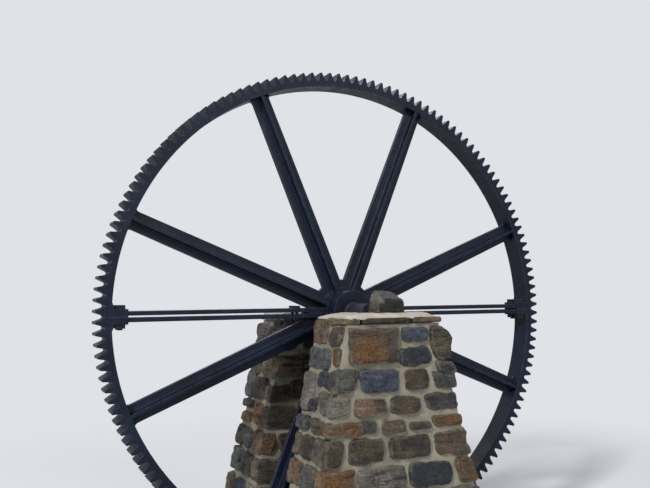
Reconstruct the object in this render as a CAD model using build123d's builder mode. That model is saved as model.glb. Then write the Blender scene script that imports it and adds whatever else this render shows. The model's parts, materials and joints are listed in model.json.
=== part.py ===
from build123d import *
from math import cos, pi, radians, sin, sqrt
import os

# Great gear wheel of a watermill on its shaft, carried by two rubble-stone piers.
# X runs across the wheel, Y along the shaft towards the back, Z up from the ground.

# Teeth, in millimetres and numbers of teeth
tooth_count = 152
tooth_pitch = 63.5          # along the pitch circle: two and a half inches
tooth_depth = 52.0
tooth_addendum = 22.0
tooth_tip_gap = 0.80        # width of a gap at the tips, as a share of the pitch
tooth_foot_gap = 0.34       # width of a gap at the foot of the flanks
tooth_root_gap = 0.17       # width of the flat bottom of a gap
tooth_foot_rise = 8.0       # height of the sloping corners of the bottom

# Rim and arms of the two half-wheel castings
arm_count = 8
rim_width = 140.0
rim_thickness = 37.0        # from the root of the teeth to the inner face
arm_web_thickness = 30.0
arm_width_at_hub = 130.0
arm_width_at_rim = 113.0
arm_flare = 28.0            # round that spreads an arm into the rim
arm_flare_share = 0.94      # share of that round that shows inside the rim
arm_rib_thickness = 20.0
arm_rib_setback = 4.0       # each rib edge behind the face of the rim
arm_cast_round = 11.0       # round in the corners between web and rib

# Hub, split on the level diameter like the rim
hub_reach = 300.0           # radius where the arms leave the hub
hub_web_radius = 212.0      # the web is whole inside this radius
hub_plate_radius = 158.0
hub_plate_thickness = 76.0
hub_boss_radius = 138.0
hub_boss_length = 350.0

# Level joint of the two castings
joint_bar_thickness = 25.0
joint_bar_gap = 12.0        # daylight between the upper and the lower bar
joint_pad_radius = 257.0    # the halves touch inside this radius
lug_length = 92.0
lug_height = 44.0
lug_gusset_run = 16.0       # the lug's root slopes up into the rim
lug_gusset_rise = 40.0

# Bolts of the joint
bolt_row_spacing = 70.0     # across the width of the rim
rim_bolt_diameter = 30.0
rim_bolt_inset = 51.0       # from the inner face of the rim
bar_bolt_diameter = 20.0
bar_bolt_past_hub = 32.0
bolt_hole_clearance = 1.0
bolt_head_share = 0.75      # height of a square head or nut as a share of the bolt's diameter
bolt_flats_share = 1.7      # width across flats as a share of the bolt's diameter
bolt_end_share = 0.3        # how far the bolt shows past its nut

# Shaft and key
shaft_seat_diameter = 132.0
shaft_journal_diameter = 114.0
shaft_end_past_pier = 175.0
shaft_shoulder = 8.0
shaft_end_chamfer = 6.0
shaft_end_gap = 12.0        # room in the seat past the end of the shaft
key_width = 30.0
key_height = 26.0
key_end_inset = 6.0
journal_clearance = 0.08

# Piers
wheel_ground_clearance = 62.0
hub_pier_gap = 25.0
pier_depth = 430.0
front_pier_half_width = 316.0
front_pier_offset = 30.0    # the front pier stands a little to the right of the shaft
rear_pier_half_width = 322.0
pier_side_batter = 0.20     # spread per unit of height
pier_face_batter = 0.08
cap_top_below_axis = 20.0
cap_thickness = 40.0
cap_overhang = 6.0
cap_joint = 6.0
cap_middle_share = 0.40     # width of the middle slab as a share of the pier's top
crown_top_below_axis = 2.0
crown_inset = 8.0
crown_slope = 60.0          # level reach of the sloping edge of the mortar

# Loose stone left on the front pier
stone_length = 178.0
stone_depth = 150.0
stone_height = 136.0
stone_centre_x = 48.0
stone_setback = 10.0        # past the room at the end of the shaft

pitch_radius = tooth_count * tooth_pitch / (2 * pi)
tip_radius = pitch_radius + tooth_addendum
root_radius = tip_radius - tooth_depth
inner_radius = root_radius - rim_thickness
axis_height = tip_radius + wheel_ground_clearance
arm_step = 360 / arm_count
teeth_per_segment = tooth_count // arm_count
joint_gap_half = joint_bar_gap / 2
joint_bar_top = joint_gap_half + joint_bar_thickness
lug_inner = inner_radius - lug_length
bar_bolt_radius = hub_reach + bar_bolt_past_hub
pier_wheel_face = hub_boss_length / 2 + hub_pier_gap
pier_outer_face = pier_wheel_face + pier_depth
shaft_half_length = pier_wheel_face + shaft_end_past_pier
cap_top = axis_height - cap_top_below_axis
cap_bottom = cap_top - cap_thickness
crown_top = axis_height - crown_top_below_axis

# Seen from the front: local x is X, local y is Z and local z comes towards the viewer
wheel_plane = Plane(origin=(0, 0, axis_height), x_dir=(1, 0, 0), z_dir=(0, -1, 0))
joint_plane = Plane.XY.offset(axis_height)


def polar(radius, angle):
    return (radius * cos(radians(angle)), radius * sin(radians(angle)))


def on_circle(radius, across):
    """Point of a circle about the shaft that lies this far off the local x axis."""
    return (sqrt(radius**2 - across**2), across)


def save(part, name):
    part.label = name
    export_step(part, f"parts/{name}.step")


def flare_points():
    """Where an arm's edge leaves the hub, where it starts to spread, and where the spread ends past the rim's face."""
    hub_corner = Vector(*on_circle(hub_reach, arm_width_at_hub / 2))
    along = (Vector(inner_radius, arm_width_at_rim / 2) - hub_corner).normalized()
    outward = Vector(-along.Y, along.X)
    base = hub_corner + outward * arm_flare
    centre_radius = inner_radius - arm_flare * arm_flare_share
    reach = sqrt(base.dot(along) ** 2 - base.dot(base) + centre_radius**2) - base.dot(along)
    centre = base + along * reach
    return hub_corner, centre - outward * arm_flare, centre + along * arm_flare


os.makedirs("parts", exist_ok=True)

# One gap between two teeth, pointing along local x
gap_tip_half = tooth_tip_gap * tooth_pitch / 2
gap_foot_half = tooth_foot_gap * tooth_pitch / 2
gap_foot_radius = root_radius + tooth_foot_rise
gap_side = [
    (root_radius, tooth_root_gap * tooth_pitch / 2),
    (gap_foot_radius, gap_foot_half),
    (tip_radius, gap_tip_half),
    (tip_radius + tooth_depth, gap_tip_half),
]
with BuildSketch() as tooth_gap:
    with BuildLine():
        Polyline(*gap_side, *[(radius, -across) for radius, across in reversed(gap_side)], close=True)
    make_face()


def rim_segment(name, first_angle, lug_side, lug_level):
    """An eighth of the toothed rim, with a bolted lug where it ends at the joint."""
    last_angle = first_angle + arm_step
    gusset_top = lug_height + lug_gusset_rise
    with BuildPart() as segment:
        with BuildSketch(wheel_plane):
            with BuildLine():
                CenterArc((0, 0), tip_radius, first_angle, arm_step)
                Line(polar(tip_radius, last_angle), polar(inner_radius, last_angle))
                CenterArc((0, 0), inner_radius, first_angle, arm_step)
                Line(polar(inner_radius, first_angle), polar(tip_radius, first_angle))
            make_face()
            if lug_side:
                with BuildLine():
                    Polyline(
                        (lug_side * lug_inner, 0),
                        (lug_side * root_radius, 0),
                        (lug_side * (root_radius - rim_thickness / 2), lug_level * gusset_top),
                        (lug_side * sqrt(inner_radius**2 - gusset_top**2), lug_level * gusset_top),
                        (lug_side * (inner_radius - lug_gusset_run), lug_level * lug_height),
                        (lug_side * lug_inner, lug_level * lug_height),
                        close=True,
                    )
                make_face()
            with PolarLocations(0, teeth_per_segment + 1, start_angle=first_angle, angular_range=arm_step, endpoint=True):
                add(tooth_gap.sketch, mode=Mode.SUBTRACT)
        extrude(amount=rim_width / 2, both=True)
        if lug_side:
            with BuildSketch(joint_plane):
                with Locations((lug_side * (inner_radius - rim_bolt_inset), 0)):
                    with GridLocations(0, bolt_row_spacing, 1, 2):
                        Circle((rim_bolt_diameter + bolt_hole_clearance) / 2)
            extrude(amount=lug_level * lug_height, mode=Mode.SUBTRACT)
    save(segment.part, name)


def arm_frame(angle):
    """Plane of the wheel with local x along an arm."""
    return Plane(origin=wheel_plane.origin, x_dir=(cos(radians(angle)), 0, sin(radians(angle))), z_dir=(0, -1, 0))


def arm_rib(angle):
    """The rib of an arm from the shaft out into the rim, with rounds in its corners down to the web."""
    round_centre = Vector(arm_web_thickness / 2, arm_rib_thickness / 2) + Vector(arm_cast_round, arm_cast_round)
    corner = [round_centre - Vector(*polar(arm_cast_round, turn)) for turn in (0, 30, 60, 90)]
    inside_web = corner[0] * 2 - corner[1]
    rib_edge = Vector(rim_width / 2 - arm_rib_setback, arm_rib_thickness / 2)
    quarter = [(point.X, point.Y) for point in (inside_web, *corner, rib_edge)]
    half_section = quarter + [(x, -y) for x, y in reversed(quarter)]
    with BuildPart() as rib:
        with BuildSketch(Plane(origin=wheel_plane.origin, x_dir=(0, 1, 0), z_dir=arm_frame(angle).x_dir)):
            with BuildLine():
                Polyline(*half_section, *[(-x, -y) for x, y in half_section], close=True)
            make_face()
        extrude(amount=root_radius)
    return rib.part


def arm(name, angle):
    """An arm with a flat web in the plane of the wheel and a rib across it on both faces."""
    hub_corner, flare_foot, flare_end = flare_points()
    rib = arm_rib(angle)
    with BuildPart() as piece:
        with BuildSketch(arm_frame(angle)):
            with BuildLine():
                Polyline((0, 0), (0, hub_corner.Y), (hub_corner.X, hub_corner.Y))
                edge = Line(hub_corner, flare_foot)
                TangentArc(flare_foot, flare_end, tangent=edge % 1)
                Polyline((flare_end.X, flare_end.Y), (root_radius, flare_end.Y), (root_radius, 0))
                mirror(about=Plane.XZ)
            make_face()
        extrude(amount=arm_web_thickness / 2, both=True)
        add(rib)
        with BuildSketch(wheel_plane):
            Circle(inner_radius)
            Circle(hub_reach, mode=Mode.SUBTRACT)
        extrude(amount=rim_width, both=True, mode=Mode.INTERSECT)
    save(piece.part, name)


def joint_bar(name, side, level):
    """A thin bar along the level joint, from the hub to the lug at the rim."""
    with BuildPart() as bar:
        with BuildSketch(wheel_plane):
            with BuildLine():
                Polyline(
                    (side * hub_reach, level * joint_gap_half),
                    (side * lug_inner, level * joint_gap_half),
                    (side * lug_inner, level * joint_bar_top),
                    (side * hub_reach, level * joint_bar_top),
                    close=True,
                )
            make_face()
        extrude(amount=rim_width / 2 - arm_rib_setback, both=True)
        with BuildSketch(joint_plane):
            with Locations((side * bar_bolt_radius, 0)):
                with GridLocations(0, bolt_row_spacing, 1, 2):
                    Circle((bar_bolt_diameter + bolt_hole_clearance) / 2)
        extrude(amount=level * joint_bar_top, mode=Mode.SUBTRACT)
    save(bar.part, name)


def hub_half(name, level, key_slot):
    """Half the hub: arm roots, a round plate, ribs and the boss round the shaft."""
    arm_angles = [level * (arm_step / 2 + arm_step * i) for i in range(arm_count // 2)]
    ribs = [arm_rib(angle) for angle in arm_angles]
    with BuildSketch() as own_side:
        with Locations((0, level * hub_reach)):
            Rectangle(hub_reach * 2, hub_reach * 2)
    with BuildPart() as hub:
        with BuildSketch(wheel_plane):
            for angle in arm_angles:
                with Locations(Location((0, 0, 0), (0, 0, angle))):
                    Rectangle(hub_reach * 2, arm_width_at_hub, align=(Align.MIN, Align.CENTER))
            Circle(hub_web_radius)
        extrude(amount=arm_web_thickness / 2, both=True)
        for rib in ribs:
            add(rib)
        with BuildSketch(wheel_plane):
            Circle(hub_reach)
            add(own_side.sketch, mode=Mode.INTERSECT)
        extrude(amount=rim_width, both=True, mode=Mode.INTERSECT)
        with BuildSketch(wheel_plane):
            Circle(hub_plate_radius)
            add(own_side.sketch, mode=Mode.INTERSECT)
        extrude(amount=hub_plate_thickness / 2, both=True)
        with BuildSketch(wheel_plane):
            with BuildLine():
                Polyline(
                    (-hub_reach, level * joint_gap_half),
                    (-joint_pad_radius, level * joint_gap_half),
                    (-joint_pad_radius, 0),
                    (joint_pad_radius, 0),
                    (joint_pad_radius, level * joint_gap_half),
                    (hub_reach, level * joint_gap_half),
                    (hub_reach, level * joint_bar_top),
                    (-hub_reach, level * joint_bar_top),
                    close=True,
                )
            make_face()
        extrude(amount=rim_width / 2 - arm_rib_setback, both=True)
        with BuildSketch(wheel_plane):
            Circle(hub_boss_radius)
            add(own_side.sketch, mode=Mode.INTERSECT)
        extrude(amount=hub_boss_length / 2, both=True)
        with BuildSketch(wheel_plane):
            Circle(shaft_seat_diameter / 2)
            if key_slot:
                with Locations((0, shaft_seat_diameter / 2)):
                    Rectangle(key_width, key_height)
        extrude(amount=hub_boss_length, both=True, mode=Mode.SUBTRACT)
    save(hub.part, name)


def bolt_set(name, centre_x, grip_half, diameter):
    """Two bolts that clamp the upper to the lower casting, with square heads above and square nuts below."""
    head_height = bolt_head_share * diameter
    flats = bolt_flats_share * diameter
    bolt_end = grip_half + head_height + bolt_end_share * diameter
    with BuildPart() as bolts:
        for level in (1, -1):
            with BuildSketch(joint_plane.offset(level * grip_half)):
                with Locations((centre_x, 0)):
                    with GridLocations(0, bolt_row_spacing, 1, 2):
                        Rectangle(flats, flats)
            extrude(amount=level * head_height)
        with BuildSketch(joint_plane.offset(-bolt_end)):
            with Locations((centre_x, 0)):
                with GridLocations(0, bolt_row_spacing, 1, 2):
                    Circle(diameter / 2)
        extrude(amount=bolt_end + grip_half + head_height / 2)
    save(bolts.part, name)


# Two half-wheel castings: four eighths of rim, four arms, two bars and half the hub in each
for half, level in (("upper", 1), ("lower", -1)):
    for i in range(arm_count // 2):
        start = arm_step * i if level > 0 else -arm_step * (i + 1)
        at_joint = {0: 1, arm_count // 2 - 1: -1}.get(i, 0)
        rim_segment(f"{half}_rim_{i + 1}", start, at_joint, level)
        arm(f"{half}_arm_{i + 1}", start + arm_step / 2)
    joint_bar(f"{half}_bar_right", 1, level)
    joint_bar(f"{half}_bar_left", -1, level)
    hub_half(f"{half}_hub", level, key_slot=level > 0)

for side, sign in (("left", -1), ("right", 1)):
    bolt_set(f"{side}_rim_bolts", sign * (inner_radius - rim_bolt_inset), lug_height, rim_bolt_diameter)
    bolt_set(f"{side}_bar_bolts", sign * bar_bolt_radius, joint_bar_top, bar_bolt_diameter)

# Shaft with a thicker seat in the hub and a journal at each end
seat_half = hub_boss_length / 2
with BuildPart() as shaft:
    with BuildSketch(Plane.YZ) as profile:
        with BuildLine():
            Polyline(
                (0, axis_height),
                (shaft_half_length, axis_height),
                (shaft_half_length, axis_height + shaft_journal_diameter / 2 - shaft_end_chamfer),
                (shaft_half_length - shaft_end_chamfer, axis_height + shaft_journal_diameter / 2),
                (seat_half + shaft_shoulder, axis_height + shaft_journal_diameter / 2),
                (seat_half, axis_height + shaft_seat_diameter / 2),
                (0, axis_height + shaft_seat_diameter / 2),
                close=True,
            )
        make_face()
        mirror(about=Plane.YZ)
    revolve(axis=Axis((0, 0, axis_height), (0, 1, 0)))
    with BuildSketch(wheel_plane):
        with Locations((0, shaft_seat_diameter / 2)):
            Rectangle(key_width, key_height)
    extrude(amount=seat_half - key_end_inset, both=True, mode=Mode.SUBTRACT)
save(shaft.part, "shaft")

with BuildPart() as hub_key:
    with BuildSketch(wheel_plane):
        with Locations((0, shaft_seat_diameter / 2)):
            Rectangle(key_width, key_height)
    extrude(amount=seat_half - key_end_inset, both=True)
save(hub_key.part, "hub_key")


def pier(name, side, centre_x, top_half_width):
    """A battered mass of rubble masonry, upright only on the face beside the wheel."""
    height = cap_bottom
    foot_half_width = top_half_width + pier_side_batter * height
    foot_outer = pier_outer_face + pier_face_batter * height
    with BuildPart() as mass:
        for level, half_width, outer_face in (
            (0, foot_half_width, foot_outer),
            (height, top_half_width, pier_outer_face),
        ):
            with BuildSketch(Plane.XY.offset(level)):
                with BuildLine():
                    Polyline(
                        (centre_x - half_width, side * pier_wheel_face),
                        (centre_x + half_width, side * pier_wheel_face),
                        (centre_x + half_width, side * outer_face),
                        (centre_x - half_width, side * outer_face),
                        close=True,
                    )
                make_face()
        loft(ruled=True)
    save(mass.part, name)


# Space of the journals, cut as a half-round seat from what lies under the shaft
with BuildPart() as journal_space:
    with BuildSketch(wheel_plane):
        Circle(shaft_journal_diameter / 2 + journal_clearance)
    extrude(amount=shaft_half_length + shaft_end_gap, both=True)


def cap_slabs(prefix, side, centre_x, top_half_width):
    """Three thin slabs of stone bedded on a pier, the middle one under the shaft."""
    half_width = top_half_width + cap_overhang
    middle_half = cap_middle_share * top_half_width
    outer_face = pier_outer_face + cap_overhang
    spans = {
        "left": (centre_x - half_width, -middle_half - cap_joint),
        "middle": (-middle_half, middle_half),
        "right": (middle_half + cap_joint, centre_x + half_width),
    }
    for place, (low, high) in spans.items():
        with BuildPart() as slab:
            with BuildSketch(Plane.XY.offset(cap_bottom)):
                with BuildLine():
                    Polyline(
                        (low, side * pier_wheel_face),
                        (high, side * pier_wheel_face),
                        (high, side * outer_face),
                        (low, side * outer_face),
                        close=True,
                    )
                make_face()
            extrude(amount=cap_thickness)
            add(journal_space.part, mode=Mode.SUBTRACT)
        save(slab.part, f"{prefix}_cap_{place}")


def mortar_crown(name, side, centre_x, top_half_width):
    """Mortar that sheds the rain off a pier, with the shaft bedded in it."""
    half_width = top_half_width + cap_overhang - crown_inset
    outer_face = pier_outer_face + cap_overhang - crown_inset
    wheel_face = pier_wheel_face + crown_inset
    with BuildPart() as crown:
        for level, across, near, far in (
            (cap_top, half_width, wheel_face, outer_face),
            (crown_top, half_width - crown_slope, wheel_face + crown_inset, outer_face - crown_slope),
        ):
            with BuildSketch(Plane.XY.offset(level)):
                with BuildLine():
                    Polyline(
                        (centre_x - across, side * near),
                        (centre_x + across, side * near),
                        (centre_x + across, side * far),
                        (centre_x - across, side * far),
                        close=True,
                    )
                make_face()
        loft(ruled=True)
        add(journal_space.part, mode=Mode.SUBTRACT)
    save(crown.part, name)


for place, side, centre_x, half_width in (
    ("front", -1, front_pier_offset, front_pier_half_width),
    ("rear", 1, 0, rear_pier_half_width),
):
    pier(f"{place}_pier", side, centre_x, half_width)
    cap_slabs(place, side, centre_x, half_width)
    mortar_crown(f"{place}_mortar_crown", side, centre_x, half_width)

# Loose stone, with a flat bed and a broken ridge on top
stone_centre_y = -(shaft_half_length + shaft_end_gap + stone_setback + stone_depth / 2)
with BuildPart() as loose_stone:
    with BuildSketch(Plane.XY.offset(crown_top)):
        with Locations((stone_centre_x, stone_centre_y)):
            Trapezoid(stone_length, stone_depth, 82, 74)
    with BuildSketch(Plane.XY.offset(crown_top + stone_height)):
        with Locations((stone_centre_x, stone_centre_y)):
            Trapezoid(stone_length * 0.62, stone_depth * 0.46, 70, 84, rotation=12)
    loft(ruled=True)
save(loose_stone.part, "loose_stone")
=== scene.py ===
import bpy, bmesh, json, math, random
from mathutils import Vector, Matrix, noise


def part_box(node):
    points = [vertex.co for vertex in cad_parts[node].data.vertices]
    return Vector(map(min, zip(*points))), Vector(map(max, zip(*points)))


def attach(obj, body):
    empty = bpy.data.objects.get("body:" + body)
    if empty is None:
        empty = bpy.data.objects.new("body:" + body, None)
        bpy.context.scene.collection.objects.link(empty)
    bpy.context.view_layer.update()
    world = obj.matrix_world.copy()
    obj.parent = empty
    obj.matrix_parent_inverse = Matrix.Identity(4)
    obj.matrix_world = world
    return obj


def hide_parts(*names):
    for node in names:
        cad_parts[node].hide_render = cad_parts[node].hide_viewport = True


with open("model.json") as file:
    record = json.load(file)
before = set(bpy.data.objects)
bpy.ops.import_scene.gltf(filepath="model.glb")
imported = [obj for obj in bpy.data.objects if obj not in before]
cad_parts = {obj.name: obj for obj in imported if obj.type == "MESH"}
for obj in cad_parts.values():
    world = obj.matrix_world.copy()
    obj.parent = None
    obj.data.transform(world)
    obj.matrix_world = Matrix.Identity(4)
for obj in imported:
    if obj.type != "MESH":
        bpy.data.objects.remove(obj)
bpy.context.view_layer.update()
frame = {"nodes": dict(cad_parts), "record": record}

nodeObject = frame["nodes"]
scene = bpy.context.scene
axisHeight = (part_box("upper_hub")[0][2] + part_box("lower_hub")[1][2]) / 2
print("frame loaded, shaft at", round(axisHeight, 3))

# the camera stands where the wheel's outline in the photo puts it
view = {
    "place": (-2.162, -4.372, 1.730),
    "lookAt": (-0.114, 0.0, 2.062),
    "roll": math.radians(-0.607),
    "lens": 41.30,
    "sensor": 36,
}
cameraData = bpy.data.cameras.new("photoCamera")
cameraData.lens = view["lens"]
cameraData.sensor_width = view["sensor"]
camera = bpy.data.objects.new("photoCamera", cameraData)
scene.collection.objects.link(camera)
camera.location = view["place"]
aim = (Vector(view["lookAt"]) - Vector(view["place"])).to_track_quat("-Z", "Y")
camera.rotation_euler = (aim.to_matrix() @ Matrix.Rotation(view["roll"], 3, "Z")).to_euler()
scene.camera = camera
scene.view_settings.view_transform = "Standard"

# pale floor that turns into the pale background between two distances from the origin
backdrop = {
    "color": (0.93, 0.95, 1.0, 1),
    "lit": 0.27,              # strength of the background as a light
    "seen": 0.80,             # strength of the background as it is seen
    "floorSize": 60,
    "floorFrom": 3.2,
    "floorTo": 7.0,
    "floorPaint": {"Base Color": (0.80, 0.81, 0.84, 1), "Roughness": 0.9, "Specular IOR Level": 0.1},
}
floorMesh = bpy.data.meshes.new("paleFloor")
bm = bmesh.new()
bmesh.ops.create_grid(bm, x_segments=1, y_segments=1, size=backdrop["floorSize"])
bm.to_mesh(floorMesh)
bm.free()
paleFloor = bpy.data.objects.new("paleFloor", floorMesh)
scene.collection.objects.link(paleFloor)

lamps = {
    "keyLight": {"place": (-12.0, -9.0, 13.1), "size": 2.4, "power": 3100},
    "fillLight": {"place": (4.0, -15.0, 7.0), "size": 6.0, "power": 650},
    "backLight": {"place": (3.0, 13.0, 11.0), "size": 8.0, "power": 650},
}
for name, lamp in lamps.items():
    lampData = bpy.data.lights.new(name, "AREA")
    lampData.size = lamp["size"]
    lampData.energy = lamp["power"]
    lampObject = bpy.data.objects.new(name, lampData)
    scene.collection.objects.link(lampObject)
    lampObject.location = lamp["place"]
    toHub = Vector((0, 0, axisHeight)) - Vector(lamp["place"])
    lampObject.rotation_euler = toHub.to_track_quat("-Z", "Y").to_euler()
world = bpy.data.worlds.new("paleSky")
world.use_nodes = True
sky = world.node_tree.nodes["Background"]
scene.world = world


def screenColor(red, green, shadedTopBlue):  # a colour as a screen shows it, 0 to 255, made linear
    return tuple(
        ((c / 255 + 0.055) / 1.055) ** 2.4 if c > 10 else c / 255 / 12.92 for c in (red, green, shadedTopBlue)
    ) + (1,)


def put(tree, kind, wires=None, **settings):  # a node with its links and fixed values
    node = tree.nodes.new(kind)
    for key, value in settings.items():
        setattr(node, key, value)
    for socket, value in (wires or {}).items():
        if isinstance(value, bpy.types.NodeSocket):
            tree.links.new(value, node.inputs[socket])
        else:
            node.inputs[socket].default_value = value
    return node


def ramp(tree, value, low, high, start=0.0, end=1.0):  # low to high becomes start to end, and stops there
    wires = {"Value": value, "From Min": low, "From Max": high, "To Min": start, "To Max": end}
    return put(tree, "ShaderNodeMapRange", wires, clamp=True).outputs["Result"]


def combine(tree, operation, *values):
    return put(tree, "ShaderNodeMath", dict(enumerate(values)), operation=operation).outputs[0]


def clouds(tree, scale, detail, roughness):
    place = put(tree, "ShaderNodeTexCoord").outputs["Object"]
    wires = {"Vector": place, "Scale": scale, "Detail": detail, "Roughness": roughness}
    return put(tree, "ShaderNodeTexNoise", wires).outputs["Fac"]


def newGroup(name, defaults, results):
    tree = bpy.data.node_groups.new(name, "ShaderNodeTree")
    for label, value in defaults.items():
        socket = tree.interface.new_socket(name=label, in_out="INPUT", socket_type="NodeSocketFloat")
        socket.default_value = value
    for label in results:
        tree.interface.new_socket(name=label, in_out="OUTPUT", socket_type="NodeSocketFloat")
    return tree, tree.nodes.new("NodeGroupInput").outputs, tree.nodes.new("NodeGroupOutput").inputs


def buildBlotch():  # soft patches that come and go over the surface
    defaults = {"Scale": 5.0, "From": 0.4, "To": 0.6, "Detail": 6.0}
    tree, given, made = newGroup("blotch", defaults, ["Mask", "Height"])
    cloud = clouds(tree, given["Scale"], given["Detail"], 0.62)
    tree.links.new(ramp(tree, cloud, given["From"], given["To"]), made["Mask"])
    tree.links.new(cloud, made["Height"])
    return tree


def buildGrain():  # pitted, gritty surface for castings and stone
    tree, given, made = newGroup("grain", {"Scale": 60.0, "Pits": 0.5}, ["Height"])
    sand = clouds(tree, given["Scale"], 5.0, 0.7)
    place = put(tree, "ShaderNodeTexCoord").outputs["Object"]
    cells = put(tree, "ShaderNodeTexVoronoi", {"Vector": place, "Scale": given["Scale"]}).outputs["Distance"]
    pits = combine(tree, "MULTIPLY", ramp(tree, cells, 0.0, 0.35, 1.0, 0.0), given["Pits"])
    tree.links.new(combine(tree, "SUBTRACT", sand, pits), made["Height"])
    return tree


def buildEdgeWearAndHighlight():  # bright where two faces meet in a corner that sticks out: worn paint and a painted highlight along the edges
    tree, given, made = newGroup("edgeWearAndHighlight", {"Radius": 0.01, "Scale": 30.0}, ["Mask"])
    facing = put(tree, "ShaderNodeNewGeometry").outputs["True Normal"]
    rounded = put(tree, "ShaderNodeBevel", {"Radius": given["Radius"]}, samples=4).outputs["Normal"]
    same = put(tree, "ShaderNodeVectorMath", {0: rounded, 1: facing}, operation="DOT_PRODUCT")
    corner = ramp(tree, same.outputs["Value"], 0.985, 0.80)
    broken = ramp(tree, clouds(tree, given["Scale"], 6.0, 0.7), 0.38, 0.62)
    tree.links.new(combine(tree, "MULTIPLY", corner, broken), made["Mask"])
    return tree


def buildTopDust():  # pale dust on what faces the sky, for pieces that never turn
    tree, given, made = newGroup("topDust", {"Scale": 12.0, "From": 0.35, "To": 0.95}, ["Mask"])
    facing = put(tree, "ShaderNodeNewGeometry").outputs["Normal"]
    upward = put(tree, "ShaderNodeSeparateXYZ", {"Vector": facing}).outputs["Z"]
    broken = ramp(tree, clouds(tree, given["Scale"], 5.0, 0.6), 0.35, 0.60)
    mask = combine(tree, "MULTIPLY", ramp(tree, upward, given["From"], given["To"]), broken)
    tree.links.new(mask, made["Mask"])
    return tree


blotch, grain, edgeWearAndHighlight, topDust = buildBlotch(), buildGrain(), buildEdgeWearAndHighlight(), buildTopDust()


def effect(tree, group, values):
    node = tree.nodes.new("ShaderNodeGroup")
    node.node_tree = group
    for socket, value in values.items():
        node.inputs[socket].default_value = value
    return node.outputs


def blendColor(tree, mask, under, over, strength=1.0):  # 6, 7 and 2 are a Mix node's colour sockets
    if strength != 1.0:
        mask = combine(tree, "MULTIPLY", mask, strength)
    return put(tree, "ShaderNodeMix", {"Factor": mask, 6: under, 7: over}, data_type="RGBA").outputs[2]


def varied(tree, color, brightness, saturation=1.0):
    wires = {"Color": color, "Value": brightness, "Saturation": saturation}
    return put(tree, "ShaderNodeHueSaturation", wires).outputs["Color"]


def relief(tree, grains):  # a share of fine grains on broader bumps
    gritty = effect(tree, grain, grains["gritty"])["Height"]
    coarse = effect(tree, grain, grains["coarse"])["Height"]
    return combine(tree, "MULTIPLY_ADD", gritty, grains["share"], coarse)


def newMaterial(name):
    mat = bpy.data.materials.new(name)
    mat.use_nodes = True
    return mat, mat.node_tree, mat.node_tree.nodes["Principled BSDF"]


def paint(tree, shader, color, *layers):  # each layer is a mask, a colour and how strongly it covers
    for mask, over, strength in layers:
        color = blendColor(tree, mask, color, over, strength)
    tree.links.new(color, shader.inputs["Base Color"])


def roughnessFrom(tree, shader, height, low, high):
    tree.links.new(ramp(tree, height, 0.3, 0.7, low, high), shader.inputs["Roughness"])


def raiseSurface(tree, shader, wires):
    tree.links.new(put(tree, "ShaderNodeBump", wires).outputs["Normal"], shader.inputs["Normal"])


# what all the iron shares: its patches, and how strongly each covers what lies under it
ironCoat = {
    "broad": {"From": 0.35, "To": 0.65},
    "chalk": {"Scale": 14.0, "From": 0.50, "To": 0.72},
    "chalkStrength": 0.35,
    "rustSpan": 0.08,
    "wearAndHighlightScale": 34.0,
    "wearAndHighlightStrength": 0.75,
    "pits": 0.35,
    "bump": 0.35,
    "sheen": 0.16,
}
ironLooks = {
    "painted_iron": {
        "dark": (9, 14, 26), "light": (19, 26, 43), "chalk": (42, 50, 72), "wearAndHighlight": (92, 99, 124),
        "rust": (40, 28, 26), "rustScale": 7.0, "rustFrom": 0.64, "rustStrength": 0.8, "broadScale": 2.6,
        "edge": 0.007, "grainScale": 240.0, "grainDepth": 0.0012, "roughness": (0.38, 0.62),
    },
    "bolt_iron": {
        "dark": (17, 20, 29), "light": (28, 32, 44), "chalk": (48, 52, 66), "wearAndHighlight": (90, 94, 108),
        "rust": (44, 31, 28), "rustScale": 26.0, "rustFrom": 0.56, "rustStrength": 0.6, "broadScale": 12.0,
        "edge": 0.003, "grainScale": 420.0, "grainDepth": 0.0006, "roughness": (0.45, 0.7),
    },
    "rusty_shaft": {
        "dark": (36, 33, 44), "light": (50, 49, 66), "chalk": (66, 64, 80), "wearAndHighlight": (84, 78, 88),
        "rust": (42, 25, 25), "rustScale": 11.0, "rustFrom": 0.55, "rustStrength": 0.85, "broadScale": 7.0,
        "edge": 0.004, "grainScale": 300.0, "grainDepth": 0.001, "roughness": (0.5, 0.78),
    },
}


def ironMaterial(name, look):
    mat, tree, shader = newMaterial(name)
    rustTo = look["rustFrom"] + ironCoat["rustSpan"]
    rustPatch = {"Scale": look["rustScale"], "From": look["rustFrom"], "To": rustTo, "Detail": 9.0}
    broad = effect(tree, blotch, {"Scale": look["broadScale"], **ironCoat["broad"]})
    chalk = effect(tree, blotch, ironCoat["chalk"])
    rust = effect(tree, blotch, rustPatch)
    # light edges: partly worn paint, partly a painted highlight along the edges
    wearAndHighlight = effect(tree, edgeWearAndHighlight, {"Radius": look["edge"], "Scale": ironCoat["wearAndHighlightScale"]})
    rough = effect(tree, grain, {"Scale": look["grainScale"], "Pits": ironCoat["pits"]})
    paint(
        tree, shader, screenColor(*look["dark"]),
        (broad["Mask"], screenColor(*look["light"]), 1.0),
        (chalk["Mask"], screenColor(*look["chalk"]), ironCoat["chalkStrength"]),
        (wearAndHighlight["Mask"], screenColor(*look["wearAndHighlight"]), ironCoat["wearAndHighlightStrength"]),
        (rust["Mask"], screenColor(*look["rust"]), look["rustStrength"]),
    )
    shader.inputs["Specular IOR Level"].default_value = ironCoat["sheen"]
    roughnessFrom(tree, shader, chalk["Height"], *look["roughness"])
    soft = put(tree, "ShaderNodeBevel", {"Radius": look["edge"]}, samples=4).outputs["Normal"]
    wires = {"Height": rough["Height"], "Strength": ironCoat["bump"], "Distance": look["grainDepth"]}
    raiseSurface(tree, shader, {**wires, "Normal": soft})
    return mat
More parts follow.
